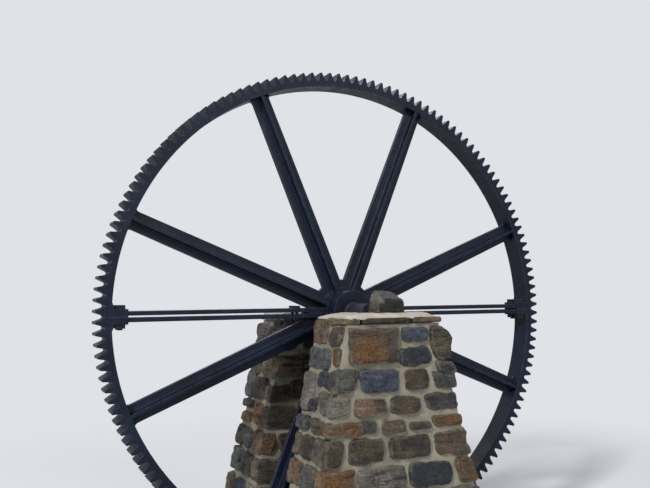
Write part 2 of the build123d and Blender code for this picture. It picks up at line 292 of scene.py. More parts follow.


# stone: colours as on a screen, then the patches, shades and beds that vary them, and how strongly. The beds
# paint a highlight on their ledges and shade in their cracks.
stoneLook = {
    "rust": (88, 60, 30), "rustBright": (154, 103, 38), "lichen": (160, 156, 146),
    "mortar": (148, 143, 126), "mortarPale": (162, 157, 141), "mortarDark": (110, 105, 92),
    "crown": (196, 190, 176), "crownDark": (172, 165, 149), "crownStain": (124, 116, 101),
}
stonePatches = {
    "mottle": {"Scale": 17.0, "From": 0.41, "To": 0.61, "Detail": 8.0},
    "fine": {"Scale": 84.0, "From": 0.44, "To": 0.60, "Detail": 6.0},
    "iron": {"Scale": 9.0, "Detail": 9.0},
    "spots": {"Scale": 46.0, "From": 0.63, "To": 0.67, "Detail": 4.0},
    "smear": {"Scale": 24.0, "From": 0.40, "To": 0.65, "Detail": 6.0},
}
stoneGrains = {"gritty": {"Scale": 110.0, "Pits": 0.5}, "coarse": {"Scale": 30.0, "Pits": 0.3}, "share": 0.3}
# the darkest shade is painted shade in the bed cracks; the pale one covers pale patches and also paints a
# highlight on the bed ledges
stoneShades = {"dark": 0.28, "crackShadeTone": 0.16, "pale": 2.2, "paleSaturation": 0.85}
stoneSpans = {"rustShare": 0.45, "rust": (0.68, 0.92), "rim": (0.88, 1.0), "roughness": (0.78, 0.95)}
stoneStrengths = {
    "mottle": 0.85, "fine": 0.4, "rust": 0.85, "rustBright": 0.7,
    "paintedLedgeLight": 0.5, "paintedCrackShade": 0.85, "lichen": 0.2, "smear": 0.5,
}
stoneBeds = {
    "left": {"Scale": (6.0, 6.0, 46.0), "Rotation": (0.35, 0.40, 0.0)},
    "right": {"Scale": (7.0, 7.0, 38.0), "Rotation": (-0.30, -0.45, 0.0)},
    "paintedLedgeLight": (0.44, 0.34),
    "paintedCrackShade": (0.56, 0.64),
    "noise": {"Scale": 1.0, "Detail": 6.0, "Roughness": 0.62},
    "depth": -1.3,
    "bump": 0.046,
}


def bedding(tree):  # noise squeezed into beds that lean to the left on some stones and to the right on others
    lean = put(tree, "ShaderNodeAttribute", attribute_name="stoneLean").outputs["Fac"]
    place = put(tree, "ShaderNodeTexCoord").outputs["Object"]
    left = put(tree, "ShaderNodeMapping", {"Vector": place, **stoneBeds["left"]}).outputs["Vector"]
    right = put(tree, "ShaderNodeMapping", {"Vector": place, **stoneBeds["right"]}).outputs["Vector"]
    squeezed = put(tree, "ShaderNodeMix", {"Factor": lean, 4: left, 5: right}, data_type="VECTOR").outputs[1]
    return put(tree, "ShaderNodeTexNoise", {"Vector": squeezed, **stoneBeds["noise"]}).outputs["Fac"]


def rubbleMaterial():
    mat, tree, shader = newMaterial("rubble_masonry")
    tint = put(tree, "ShaderNodeVertexColor", layer_name="stoneTint").outputs
    rim = put(tree, "ShaderNodeAttribute", attribute_name="stoneEdge").outputs["Fac"]
    patch = {name: effect(tree, blotch, values) for name, values in stonePatches.items()}
    beds = bedding(tree)
    dark = varied(tree, tint["Color"], stoneShades["dark"])
    crackShadeTone = varied(tree, tint["Color"], stoneShades["crackShadeTone"])
    paleAndHighlit = varied(tree, tint["Color"], stoneShades["pale"], stoneShades["paleSaturation"])
    rusty = combine(tree, "MULTIPLY_ADD", tint["Alpha"], stoneSpans["rustShare"], patch["iron"]["Height"])
    rust, rustBright = screenColor(*stoneLook["rust"]), screenColor(*stoneLook["rustBright"])
    rust = blendColor(tree, patch["fine"]["Mask"], rust, rustBright, stoneStrengths["rustBright"])
    smear = combine(tree, "MULTIPLY", ramp(tree, rim, *stoneSpans["rim"]), patch["smear"]["Mask"])
    paint(
        tree, shader, tint["Color"],
        (patch["mottle"]["Mask"], dark, stoneStrengths["mottle"]),
        (patch["fine"]["Mask"], paleAndHighlit, stoneStrengths["fine"]),
        (ramp(tree, rusty, *stoneSpans["rust"]), rust, stoneStrengths["rust"]),
        # painted highlight on the ledges of the beds, then painted shade in their cracks
        (ramp(tree, beds, *stoneBeds["paintedLedgeLight"]), paleAndHighlit, stoneStrengths["paintedLedgeLight"]),
        (ramp(tree, beds, *stoneBeds["paintedCrackShade"]), crackShadeTone, stoneStrengths["paintedCrackShade"]),
        (patch["spots"]["Mask"], screenColor(*stoneLook["lichen"]), stoneStrengths["lichen"]),
        (smear, screenColor(*stoneLook["mortar"]), stoneStrengths["smear"]),
    )
    roughnessFrom(tree, shader, patch["mottle"]["Height"], *stoneSpans["roughness"])
    height = combine(tree, "MULTIPLY_ADD", beds, stoneBeds["depth"], relief(tree, stoneGrains))
    raiseSurface(tree, shader, {"Height": height, "Strength": 1.0, "Distance": stoneBeds["bump"]})
    return mat


mortarPatches = {
    "broad": {"Scale": 5.0, "From": 0.36, "To": 0.64, "Detail": 7.0},
    "stains": {"Scale": 11.0, "From": 0.58, "To": 0.70, "Detail": 8.0},
    "fine": {"Scale": 85.0, "From": 0.40, "To": 0.60, "Detail": 5.0},
}
mortarGrains = {"gritty": {"Scale": 150.0, "Pits": 0.6}, "coarse": {"Scale": 34.0, "Pits": 0.2}, "share": 0.3}
mortarStrengths = {"stains": 0.5, "fine": 0.3, "dust": 0.4}
mortarFinish = {
    "dustScale": 9.0,
    "roughness": (0.85, 0.97),
    "bump": {"Strength": 0.85, "Distance": 0.007},
}


def mortarMaterial(name, base, dark, stain, dustFrom):
    mat, tree, shader = newMaterial(name)
    base, dark, stain = (screenColor(*stoneLook[tone]) for tone in (base, dark, stain))
    patch = {name: effect(tree, blotch, values) for name, values in mortarPatches.items()}
    dust = effect(tree, topDust, {"Scale": mortarFinish["dustScale"], "From": dustFrom, "To": 1.0})
    paint(
        tree, shader, base,
        (patch["broad"]["Mask"], dark, 1.0),
        (patch["stains"]["Mask"], stain, mortarStrengths["stains"]),
        (patch["fine"]["Mask"], dark, mortarStrengths["fine"]),
        (dust["Mask"], screenColor(*stoneLook["mortarPale"]), mortarStrengths["dust"]),
    )
    roughnessFrom(tree, shader, patch["broad"]["Height"], *mortarFinish["roughness"])
    raiseSurface(tree, shader, {"Height": relief(tree, mortarGrains), **mortarFinish["bump"]})
    return mat


def seenDirectly(tree):  # 1 where the eye, a mirror or glass looks at it, 0 where it only lights
    rays = put(tree, "ShaderNodeLightPath").outputs
    mirrored = combine(tree, "MAXIMUM", rays["Is Camera Ray"], rays["Is Glossy Ray"])
    return combine(tree, "MAXIMUM", mirrored, rays["Is Transmission Ray"])


def paintBackdrop():
    tree = world.node_tree
    sky.inputs["Color"].default_value = backdrop["color"]
    wires = {"Value": seenDirectly(tree), "To Min": backdrop["lit"], "To Max": backdrop["seen"]}
    tree.links.new(put(tree, "ShaderNodeMapRange", wires).outputs["Result"], sky.inputs["Strength"])

    mat, tree, shader = newMaterial("paleFloorPaint")
    for socket, value in backdrop["floorPaint"].items():
        shader.inputs[socket].default_value = value
    place = put(tree, "ShaderNodeTexCoord").outputs["Object"]
    reach = put(tree, "ShaderNodeVectorMath", {0: place}, operation="LENGTH").outputs["Value"]
    wires = {"Value": reach, "From Min": backdrop["floorFrom"], "From Max": backdrop["floorTo"]}
    fade = put(tree, "ShaderNodeMapRange", wires, interpolation_type="SMOOTHSTEP").outputs["Result"]
    share = combine(tree, "MULTIPLY", fade, seenDirectly(tree))
    wires = {"Color": backdrop["color"], "Strength": backdrop["seen"]}
    distant = put(tree, "ShaderNodeEmission", wires).outputs[0]
    mixed = put(tree, "ShaderNodeMixShader", {0: share, 1: shader.outputs[0], 2: distant}).outputs[0]
    tree.links.new(mixed, tree.nodes["Material Output"].inputs["Surface"])
    floorMesh.materials.append(mat)


paintBackdrop()
print("camera, floor and lamps set")
rubbleMat = rubbleMaterial()
jointMat = mortarMaterial("joint_mortar", "mortar", "mortarDark", "mortarDark", 0.5)
crownMat = mortarMaterial("crown_mortar", "crown", "crownDark", "crownStain", 0.99)
slotMaterials = {name: ironMaterial(name, look) for name, look in ironLooks.items()}
for row in frame["record"]["subparts"]:
    piece = nodeObject[row["node"]]
    if row["material_slot"] in slotMaterials:
        for place in range(len(piece.data.materials)):
            piece.data.materials[place] = slotMaterials[row["material_slot"]]
print("materials ready")


def finishPiece(bm, name, mat, body, sharpAngle):
    bmesh.ops.recalc_face_normals(bm, faces=bm.faces[:])
    mesh = bpy.data.meshes.new(name)
    bm.to_mesh(mesh)
    bm.free()
    if mesh.has_custom_normals:
        mesh.attributes.remove(mesh.attributes["custom_normal"])
    mesh.polygons.foreach_set("use_smooth", [True] * len(mesh.polygons))
    mesh.set_sharp_from_angle(angle=math.radians(sharpAngle))
    mesh.materials.append(mat)
    piece = bpy.data.objects.new(name, mesh)
    scene.collection.objects.link(piece)
    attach(piece, body)
    return piece


# each half of the wheel as the one casting that it is, without the faces where its nodes touch
armRadii = [math.hypot(vert.co.x, vert.co.z - axisHeight) for vert in nodeObject["upper_arm_2"].data.vertices]
casting = {
    "hubSeam": min(armRadii),
    "rimSeam": max(armRadii),
    "slack": 0.0006,
    "angleSlack": 0.01,
    "rimPiece": 45,           # degrees from one seam of the rim to the next
    "weld": 0.00004,
    "sharp": 32,
}


def isSeam(name, face):  # the rim's faces at 0 and 180 degrees stay: there the two halves really meet
    spots = [(vert.co.x, vert.co.z - axisHeight) for vert in face.verts]
    radii = [math.hypot(x, z) for x, z in spots]
    if "_rim_" in name:
        angles = [math.degrees(math.atan2(z, x)) for x, z in spots]
        turn = round(angles[0] / casting["rimPiece"]) * casting["rimPiece"]
        return turn % 180 != 0 and all(abs(angle - turn) < casting["angleSlack"] for angle in angles)
    seams = [casting["hubSeam"]] + ([casting["rimSeam"]] if "_arm_" in name else [])
    return any(all(abs(radius - seam) < casting["slack"] for radius in radii) for seam in seams)


def buildHalf(half):
    names = [f"{half}_{kind}_{number}" for kind in ("rim", "arm") for number in (1, 2, 3, 4)]
    names.append(f"{half}_hub")
    bm = bmesh.new()
    inner = []
    for name in names:
        first = len(bm.faces)
        bm.from_mesh(nodeObject[name].data)
        bm.faces.ensure_lookup_table()
        inner += [face for face in bm.faces[first:] if isSeam(name, face)]
    removed = len(inner)
    bmesh.ops.delete(bm, geom=inner, context="FACES")
    bmesh.ops.remove_doubles(bm, verts=bm.verts[:], dist=casting["weld"])
    iron = slotMaterials["painted_iron"]
    piece = finishPiece(bm, f"{half}_casting", iron, "wheel", casting["sharp"])
    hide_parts(*names)
    print(half, "half cast in one:", len(piece.data.polygons), "faces,", removed, "inner faces gone")


buildHalf("upper")
buildHalf("lower")

# two colours of each kind of stone, as on a screen, and how much rust runs through it
stoneTints = {
    "slate": ((64, 72, 87), (46, 52, 62), 0.0),
    "darkSlate": ((40, 46, 53), (60, 66, 74), 0.0),
    "brown": ((82, 68, 51), (56, 48, 40), 0.2),
    "roughBrown": ((92, 77, 58), (62, 55, 47), 0.1),
    "rustBrown": ((98, 77, 58), (80, 75, 70), 0.75),
    "orange": ((116, 80, 42), (90, 74, 56), 0.6),
    "maroon": ((88, 67, 59), (62, 51, 49), 0.15),
    "pale": ((124, 117, 110), (92, 87, 81), 0.1),
    "grey": ((84, 83, 80), (60, 60, 62), 0.0),
    "tan": ((108, 92, 70), (80, 71, 59), 0.15),
    "lavender": ((108, 111, 132), (80, 82, 95), 0.0),
}
commonTints = [
    "slate", "slate", "slate", "darkSlate", "darkSlate", "brown", "brown", "brown",
    "roughBrown", "roughBrown", "rustBrown", "rustBrown", "grey", "grey", "grey",
    "tan", "tan", "maroon", "maroon", "pale", "orange",
]
rubble = {
    "step": 0.020,            # size of the faces on a stone
    "deepStep": 0.040,        # the same, into the wall
    "strips": (4, 30),        # fewest and most strips of faces along an edge
    "joint": (0.014, 0.028),  # mortar between two stones
    "proud": (0.009, 0.020),  # how far a stone stands out
    "proudShift": 0.003,      # from corner to corner
    "depth": (0.10, 0.17),
    "course": (0.13, 0.24),
    "width": (0.16, 0.33),
    "cornerLong": (0.19, 0.27),
    "cornerDeep": (0.16, 0.21),
    "cornerShort": (0.10, 0.15),
    "cornerFree": 0.118,      # room left for a listed corner stone
    "cornerSplit": (0.17, 0.4, 0.02),   # least height, how often, how far off the middle
    "split": (0.16, 0.35, 0.025),
    "splitAcross": 0.24,      # least width of a stone whose upper half is split again
    "across": (0.4, 0.6),     # where that is, as a share of the width
    "squareness": (5, 6, 7, 8, 10, 12),
    "cornerSquareness": (5, 10),
    "wobble": 0.06,           # of the corners, as a share of the stone
    "bedWobble": 0.6,         # less of it in the beds of corner stones
    "lowest": 0.004,
    "rough": 0.016,
    "placedProud": (0.015, 0.020),      # of the listed stones
    "placedCornerProud": 0.014,
    "placedDepth": 0.13,
    "placedWobble": 0.02,
    "mortarInset": 0.014,
    "mortarRough": 0.007,
    "mortarNoise": (1.0, 2.0, 5),
    "mortarScale": 11,
    "mortarCuts": 44,
    "overhang": 0.006,        # of the cap slabs past the pier
    "footInset": 0.022,       # so that the lowest stones stand no further out than the solid
    "sharp": 38,
    "mortarSharp": 60,
}
stoneShape = {
    "bumps": (0.8, 2.2, 5),   # of noise: how it fades, how much finer each layer is, how many layers
    "bumpScale": 10,
    "bumpOutward": 0.4,       # of the bumps, toward the face
    "patches": (1.0, 2.0, 3),
    "patchScale": 7,
    "patchSpread": (1.8, 0.35),
    "drift": 40,              # how far off the noise of another stone can be
    "shade": (0.88, 1.12),    # from stone to stone
    "toneShift": (0.97, 1.03),
    "chipLean": 0.75,
    "chipFrom": (0.93, 0.98),  # where a chip is cut off, as a share of the stone
    "facetLean": 0.30,
    "facetDepth": (0.003, 0.3, 0.005),  # least, then the most as a share of the roughness, plus this
    "flatten": 0.9,
}


def emptyStones():
    bm = bmesh.new()
    bm.verts.layers.float_color.new("stoneTint")
    bm.verts.layers.float.new("stoneEdge")
    bm.verts.layers.float.new("stoneLean")
    return bm


blanks = {}


def stoneBlank(strips):  # a block cut into so many strips along each of its edges
    if strips not in blanks:
        bm = emptyStones()
        bmesh.ops.create_cube(bm, size=2)
        for axis, count in enumerate(strips):
            along = [e for e in bm.edges if abs((e.verts[0].co - e.verts[1].co).normalized()[axis]) > 0.9]
            bmesh.ops.subdivide_edges(bm, edges=along, cuts=count - 1, use_grid_fill=True)
        blanks[strips] = bpy.data.meshes.new("stoneBlank")
        bm.to_mesh(blanks[strips])
        bm.free()
    return blanks[strips]


def insideCorners(corners, a, b, c):  # a place in the block between eight corners, by its three shares
    low = corners[0].lerp(corners[1], a).lerp(corners[3].lerp(corners[2], a), b)
    high = corners[4].lerp(corners[5], a).lerp(corners[7].lerp(corners[6], a), b)
    return low.lerp(high, c)


def stoneTones(tintName, dice):
    main, other, rust = stoneTints[tintName]
    shade = dice.uniform(*stoneShape["shade"])
    tones = []
    for color in (main, other):
        shifted = [min(255, c * shade * dice.uniform(*stoneShape["toneShift"])) for c in color]
        tones.append(Vector(screenColor(*shifted)[:3]))
    return tones[0], tones[1], rust


def chipStone(own, centre, outward, dice, rough, chips, facets):  # corners broken off, then nearly flat faces
    for number in range(chips + facets):
        isChip = number < chips
        lean = Vector((dice.uniform(-1, 1), dice.uniform(-1, 1), dice.uniform(-1, 1)))
        normal = (outward + lean * stoneShape["chipLean" if isChip else "facetLean"]).normalized()
        reach = max((vert.co - centre).dot(normal) for vert in own)
        if isChip:
            limit = reach * dice.uniform(*stoneShape["chipFrom"])
        else:
            least, share, more = stoneShape["facetDepth"]
            limit = reach - dice.uniform(least, share * rough + more)
        for vert in own:
            past = (vert.co - centre).dot(normal) - limit
            if past > 0:
                vert.co -= normal * past * stoneShape["flatten"]


def layStone(bm, corners, tintName, squareness, dice, rough, chips=4, deepStep=None, facets=3):
    steps = (rubble["step"], deepStep or rubble["step"], rubble["step"])
    edges = (corners[1] - corners[0], corners[3] - corners[0], corners[4] - corners[0])
    fewest, most = rubble["strips"]
    strips = tuple(max(fewest, min(most, round(edge.length / step))) for edge, step in zip(edges, steps))
    first = len(bm.verts)
    bm.from_mesh(stoneBlank(strips))
    bm.verts.ensure_lookup_table()
    tintLayer = bm.verts.layers.float_color["stoneTint"]
    edgeLayer = bm.verts.layers.float["stoneEdge"]
    leanLayer = bm.verts.layers.float["stoneLean"]
    bedLean = dice.uniform(0.0, 1.0)
    own = bm.verts[first:]
    main, other, rust = stoneTones(tintName, dice)
    centre = sum(corners, Vector()) / 8
    front = (corners[0] + corners[1] + corners[4] + corners[5]) / 4
    outward = (front - (corners[2] + corners[3] + corners[6] + corners[7]) / 4).normalized()
    far = stoneShape["drift"]
    drift = Vector((dice.uniform(-far, far), dice.uniform(-far, far), dice.uniform(-far, far)))
    spread, start = stoneShape["patchSpread"]
    for vert in own:
        a, b, c = vert.co
        edge = max(abs(a), abs(c)) if b < 0.99 else 1.0
        pull = (abs(a) ** squareness + abs(b) ** squareness + abs(c) ** squareness) ** (1 / squareness)
        place = insideCorners(corners, (a / pull + 1) / 2, (b / pull + 1) / 2, (c / pull + 1) / 2)
        away = (place - centre).normalized() + outward * stoneShape["bumpOutward"]
        swell = noise.fractal(place * stoneShape["bumpScale"] + drift, *stoneShape["bumps"]) * rough
        vert.co = place + away * swell
        patch = noise.fractal(place * stoneShape["patchScale"] - drift, *stoneShape["patches"])
        share = max(0.0, min(1.0, patch * spread + start))
        vert[tintLayer] = (*main.lerp(other, share), rust)
        vert[edgeLayer] = edge
        vert[leanLayer] = bedLean
    chipStone(own, centre, outward, dice, rough, chips, facets)
    return own


def pierShape(place):  # the four edges of the pier at its foot and at its head, and which side it stands on
    side = -1 if place == "front" else 1
    low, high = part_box(f"{place}_pier")
    capLow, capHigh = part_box(f"{place}_cap_left")[0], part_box(f"{place}_cap_right")[1]
    wheel, outer = sorted((abs(low[1]), abs(high[1])))
    capOuter = max(abs(capLow[1]), abs(capHigh[1]))
    over = rubble["overhang"]
    foot = {"left": low[0], "right": high[0], "outer": outer - rubble["footInset"], "wheel": wheel}
    head = {"left": capLow[0] + over, "right": capHigh[0] - over, "outer": capOuter - over, "wheel": wheel}
    return {"side": side, "top": high[2], "foot": foot, "head": head}


def pierEdge(pier, name, z):
    share = z / pier["top"]
    return pier["foot"][name] * (1 - share) + pier["head"][name] * share


def onFace(pier, face, along, z, depth):
    side = pier["side"]
    if face == "outer":
        return Vector((along, side * (pierEdge(pier, "outer", z) - depth), z))
    if face == "wheel":
        return Vector((along, side * (pierEdge(pier, "wheel", z) + depth), z))
    if face == "left":
        return Vector((pierEdge(pier, "left", z) + depth, side * along, z))
    return Vector((pierEdge(pier, "right", z) - depth, side * along, z))


def faceCorners(pier, face, cell, proud, depth, dice, wobble):
    start, bottom, end, top = cell
    loose = wobble * min(end - start, top - bottom)
    spots = []
    for along, z in ((start, bottom), (end, bottom), (start, top), (end, top)):
        along += dice.uniform(-loose, loose)
        spots.append((along, max(z + dice.uniform(-loose, loose), rubble["lowest"])))
    shift = rubble["proudShift"]
    fronts = [-(proud + dice.uniform(-shift, shift)) for _ in range(4)]
    corners = []
    for one, two in ((0, 1), (2, 3)):
        for index, inward in ((one, fronts[one]), (two, fronts[two]), (two, depth), (one, depth)):
            corners.append(onFace(pier, face, *spots[index], inward))
    return corners


def cornerStone(pier, sideName, faceName, size, proud, dice, wobble):
    reachX, reachY, bottom, top = size
    signX = 1 if sideName == "left" else -1
    signY = -1 if faceName == "outer" else 1
    loose = wobble * min(reachX, reachY, top - bottom)
    corners = []
    for z in (bottom, top):
        z = max(z + dice.uniform(-loose, loose) * rubble["bedWobble"], rubble["lowest"])
        x = pierEdge(pier, sideName, z) - signX * proud
        y = pierEdge(pier, faceName, z) - signY * proud
        farX = x + signX * (reachX + dice.uniform(-loose, loose))
        farY = y + signY * (reachY + dice.uniform(-loose, loose))
        corners += [Vector((a, pier["side"] * b, z)) for a, b in ((x, y), (farX, y), (farX, farY), (x, farY))]
    return corners


def splitRun(low, high, widths, dice):  # a course cut into stones, with no last stone too wide or too narrow
    edges = [low]
    while high - edges[-1] > widths[1] * 1.25:
        edges.append(edges[-1] + dice.uniform(*widths))
    if high - edges[-1] > widths[1]:
        edges.append((edges[-1] + high) / 2)
    edges.append(high)
    if len(edges) > 2 and edges[-1] - edges[-2] < widths[0] * 0.6:
        edges.pop(-2)
    return list(zip(edges[:-1], edges[1:]))


# stones listed one by one, in metres. outer and left: from, bottom, to, top, kind and squareness. corners:
# side, face, reach along x and y, bottom, top, kind, squareness and, if not the usual, how far it stands out.
# free: heights between which a face or corner gets no courses. levels: bed joints from the top down.
# raised: how much higher than its bed joint a face's course reaches, by its number from the top.
frontStones = {
    "outer": [
        (-0.274, 1.340, 0.052, 1.548, "rustBrown", 14),
        (0.074, 1.452, 0.252, 1.540, "slate", 9),
        (0.040, 1.318, 0.282, 1.440, "darkSlate", 3.6),
        (-0.290, 0.955, -0.110, 1.030, "grey", 8),
        (-0.085, 0.950, 0.075, 1.025, "tan", 7),
        (0.100, 0.955, 0.245, 1.000, "brown", 6),
    ],
    "left": [
        (0.450, 1.442, 0.594, 1.552, "maroon", 7),
        (0.525, 1.333, 0.614, 1.430, "orange", 8),
        (0.375, 1.206, 0.548, 1.296, "slate", 5),
        (0.565, 1.190, 0.652, 1.310, "grey", 7),
        (0.300, 1.062, 0.420, 1.140, "darkSlate", 5),
        (0.445, 1.050, 0.560, 1.185, "pale", 6),
    ],
    "corners": [
        ("right", "outer", 0.130, 0.200, 1.342, 1.552, "roughBrown", 4.5, 0.034),
        ("right", "outer", 0.125, 0.240, 1.262, 1.340, "grey", 5, 0.030),
        ("right", "outer", 0.225, 0.150, 0.958, 1.028, "orange", 6),
        ("left", "wheel", 0.150, 0.196, 1.446, 1.603, "rustBrown", 8, 0.000),
        ("left", "wheel", 0.150, 0.296, 1.298, 1.424, "slate", 8, 0.002),
        ("left", "wheel", 0.180, 0.165, 1.045, 1.280, "pale", 5),
        ("left", "outer", 0.110, 0.110, 1.050, 1.170, "pale", 5),
        ("left", "outer", 0.100, 0.080, 1.185, 1.318, "grey", 6),
    ],
    "free": {
        "outer": (0.94, 1.04, 1.28, 1.56),
        "left": (1.04, 1.56),
        "leftOuter": (1.04, 1.56),
        "leftWheel": (1.04, 1.56),
        "rightOuter": (0.94, 1.04, 1.27, 1.56),
    },
    "levels": [1.56, 1.43, 1.29, 1.165, 1.04, 0.94],
    "raised": {("outer", 2): 0.024},
    "rustSpot": (-0.150, -0.645, 1.400, 0.115),   # the middle of the rust on the big stone, and its reach
    "seed": 7,
    "restSeed": 31,           # for the stones that aren't listed
}
rearStones = {
    "outer": [],
    "left": [
        (0.492, 1.420, 0.622, 1.548, "lavender", 8),
        (0.402, 1.428, 0.470, 1.520, "pale", 6),
        (0.232, 1.430, 0.380, 1.498, "tan", 7),
        (0.226, 1.512, 0.392, 1.572, "slate", 5),
        (0.480, 1.200, 0.600, 1.330, "roughBrown", 6),
    ],
    "corners": [
        ("left", "wheel", 0.240, 0.250, 1.190, 1.340, "tan", 7),
        ("left", "wheel", 0.160, 0.130, 1.036, 1.150, "maroon", 6),
        ("left", "outer", 0.140, 0.130, 1.030, 1.222, "slate", 7),
    ],
    "free": {"left": (1.19, 1.56), "leftWheel": (1.03, 1.35), "leftOuter": (1.03, 1.23)},
    "levels": [1.56, 1.35, 1.19, 1.03, 0.86],
    "seed": 23,
}


def isFree(own, name, middle):
    spans = own["free"].get(name, ())
    return any(low < middle < high for low, high in zip(spans[::2], spans[1::2]))


def placeByHand(bm, pier, own, dice):
    rough, wobble = rubble["rough"], rubble["placedWobble"]
    for face in ("outer", "left"):
        for *cell, tintName, squareness in own[face]:
            proud = dice.uniform(*rubble["placedProud"])
            corners = faceCorners(pier, face, cell, proud, rubble["placedDepth"], dice, wobble)
            laid = layStone(bm, corners, tintName, squareness, dice, rough, 2, rubble["deepStep"])
            if "rustSpot" in own and tintName == "rustBrown":
                tintLayer = bm.verts.layers.float_color["stoneTint"]
                middle, reach = Vector(own["rustSpot"][:3]), own["rustSpot"][3]
                for vert in laid:
                    vert[tintLayer][3] = max(0.15, min(1.0, 1.5 - (vert.co - middle).length / reach))
    for sideName, faceName, reachX, reachY, bottom, top, tintName, squareness, *standsOut in own["corners"]:
        proud = standsOut[0] if standsOut else rubble["placedCornerProud"]
        size = (reachX, reachY, bottom, top)
        corners = cornerStone(pier, sideName, faceName, size, proud, dice, wobble)
        layStone(bm, corners, tintName, squareness, dice, rough, 2)
    return len(own["outer"]) + len(own["left"]) + len(own["corners"])


def courseLevels(own, dice):  # the bed joints from the top to the ground
    levels = list(own["levels"])
    count = round(levels[-1] / (sum(rubble["course"]) / 2))
    heights = [dice.uniform(*rubble["course"]) for _ in range(count)]
    scale = levels[-1] / sum(heights)
    for height in heights:
        levels.append(max(0.0, levels[-1] - height * scale))
    return levels


def layCorners(bm, pier, own, course, dice):
    number, bottom, top, bed = course
    middle = (bottom + top) / 2
    reaches = {}
    count = 0
    for sideName in ("left", "right"):
        for faceName in ("outer", "wheel"):
            key = sideName + faceName.capitalize()
            isLong = (number + (sideName == "left") + (faceName == "outer")) % 2 == 0
            reachX = dice.uniform(*rubble["cornerLong" if isLong else "cornerShort"])
            reachY = dice.uniform(*rubble["cornerShort" if isLong else "cornerDeep"])
            reaches[key] = (reachX, reachY)
            if isFree(own, key, middle):
                reaches[key] = (rubble["cornerFree"], rubble["cornerFree"])
                continue
            layers = [(bottom + bed, top - bed)]
            leastHeight, often, off = rubble["cornerSplit"]
            if top - bottom > leastHeight and dice.random() < often:
                cut = middle + dice.uniform(-off, off)
                layers = [(bottom + bed, cut - bed), (cut + bed, top - bed)]
            for low, high in layers:
                proud = dice.uniform(*rubble["proud"])
                size = (reachX, reachY, low, high)
                corners = cornerStone(pier, sideName, faceName, size, proud, dice, rubble["wobble"])
                tintName, squareness = dice.choice(commonTints), dice.uniform(*rubble["cornerSquareness"])
                layStone(bm, corners, tintName, squareness, dice, rubble["rough"])
                count += 1
    return reaches, count


def stoneCells(start, end, course, raised, dice):  # one stone, or two or three where it is split
    _, bottom, top, bed = course
    gap = dice.uniform(*rubble["joint"]) / 2
    leastHeight, often, off = rubble["split"]
    if not (top - bottom > leastHeight and dice.random() < often):
        return [(start + gap, bottom + bed, end - gap, top - bed + raised)]
    cut = (bottom + top) / 2 + dice.uniform(-off, off)
    lower = (start + gap, bottom + bed, end - gap, cut - gap)
    if end - start <= rubble["splitAcross"]:
        return [lower, (start + gap, cut + gap, end - gap, top - bed)]
    across = start + (end - start) * dice.uniform(*rubble["across"])
    upperLeft = (start + gap, cut + gap, across - gap, top - bed)
    return [lower, upperLeft, (across + gap, cut + gap, end - gap, top - bed)]


def layFaces(bm, pier, own, course, reaches, dice):
    number, bottom, top, bed = course
    middle = (bottom + top) / 2
    count = 0
    for face in ("outer", "wheel", "left", "right"):
        if isFree(own, face, middle):
            continue
        if face in ("outer", "wheel"):
            low = pierEdge(pier, "left", middle) + reaches["left" + face.capitalize()][0]
            high = pierEdge(pier, "right", middle) - reaches["right" + face.capitalize()][0]
        else:
            low = pierEdge(pier, "wheel", middle) + reaches[face + "Wheel"][1]
            high = pierEdge(pier, "outer", middle) - reaches[face + "Outer"][1]
        raised = own.get("raised", {}).get((face, number), 0)
        for start, end in splitRun(low, high, rubble["width"], dice):
            for cell in stoneCells(start, end, course, raised, dice):
                proud, depth = dice.uniform(*rubble["proud"]), dice.uniform(*rubble["depth"])
                corners = faceCorners(pier, face, cell, proud, depth, dice, rubble["wobble"])
                tintName, squareness = dice.choice(commonTints), dice.choice(rubble["squareness"])
                layStone(bm, corners, tintName, squareness, dice, rubble["rough"], 4, rubble["deepStep"])
                count += 1
    return count


def fillMortar(pier, seed):  # the mass of the pier behind the stones' faces, slightly uneven
    bm = bmesh.new()
    bmesh.ops.create_cube(bm, size=2)
    bmesh.ops.subdivide_edges(bm, edges=bm.edges[:], cuts=rubble["mortarCuts"], use_grid_fill=True)
    drift = Vector((seed, seed * 2.3, 0))
    inset = rubble["mortarInset"]
    for vert in bm.verts:
        a, b, c = vert.co
        z = pier["top"] * (c + 1) / 2
        left, right = pierEdge(pier, "left", z) + inset, pierEdge(pier, "right", z) - inset
        outer, wheel = pierEdge(pier, "outer", z) - inset, pierEdge(pier, "wheel", z) + inset
        y = wheel + (outer - wheel) * (b + 1) / 2
        spot = Vector((left + (right - left) * (a + 1) / 2, pier["side"] * y, z))
        away = Vector((a if abs(a) > 0.99 else 0, pier["side"] * b if abs(b) > 0.99 else 0, 0))
        swell = noise.fractal(spot * rubble["mortarScale"] + drift, *rubble["mortarNoise"])
        vert.co = spot + away * (swell * rubble["mortarRough"])
    return bm


def buildPier(place, own):
    pier = pierShape(place)
    dice = random.Random(own["seed"])
    bm = emptyStones()
    count = placeByHand(bm, pier, own, dice)
    if "restSeed" in own:
        dice.seed(own["restSeed"])
    levels = courseLevels(own, dice)
    for number, (top, bottom) in enumerate(zip(levels[:-1], levels[1:])):
        course = (number, bottom, top, dice.uniform(*rubble["joint"]) / 2)
        reaches, cornerCount = layCorners(bm, pier, own, course, dice)
        count += cornerCount + layFaces(bm, pier, own, course, reaches, dice)
    for vert in bm.verts:
        vert.co.z = max(vert.co.z, 0.0)
    stones = finishPiece(bm, f"{place}_pier_stones", rubbleMat, "piers", rubble["sharp"])
    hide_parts(f"{place}_pier")
    bm = fillMortar(pier, own["seed"])
    mortar = finishPiece(bm, f"{place}_pier_mortar", jointMat, "piers", rubble["mortarSharp"])
    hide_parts(f"{place}_pier")
    print(place, "pier laid with", count, "stones", len(stones.data.polygons), "faces")


buildPier("front", frontStones)
buildPier("rear", rearStones)

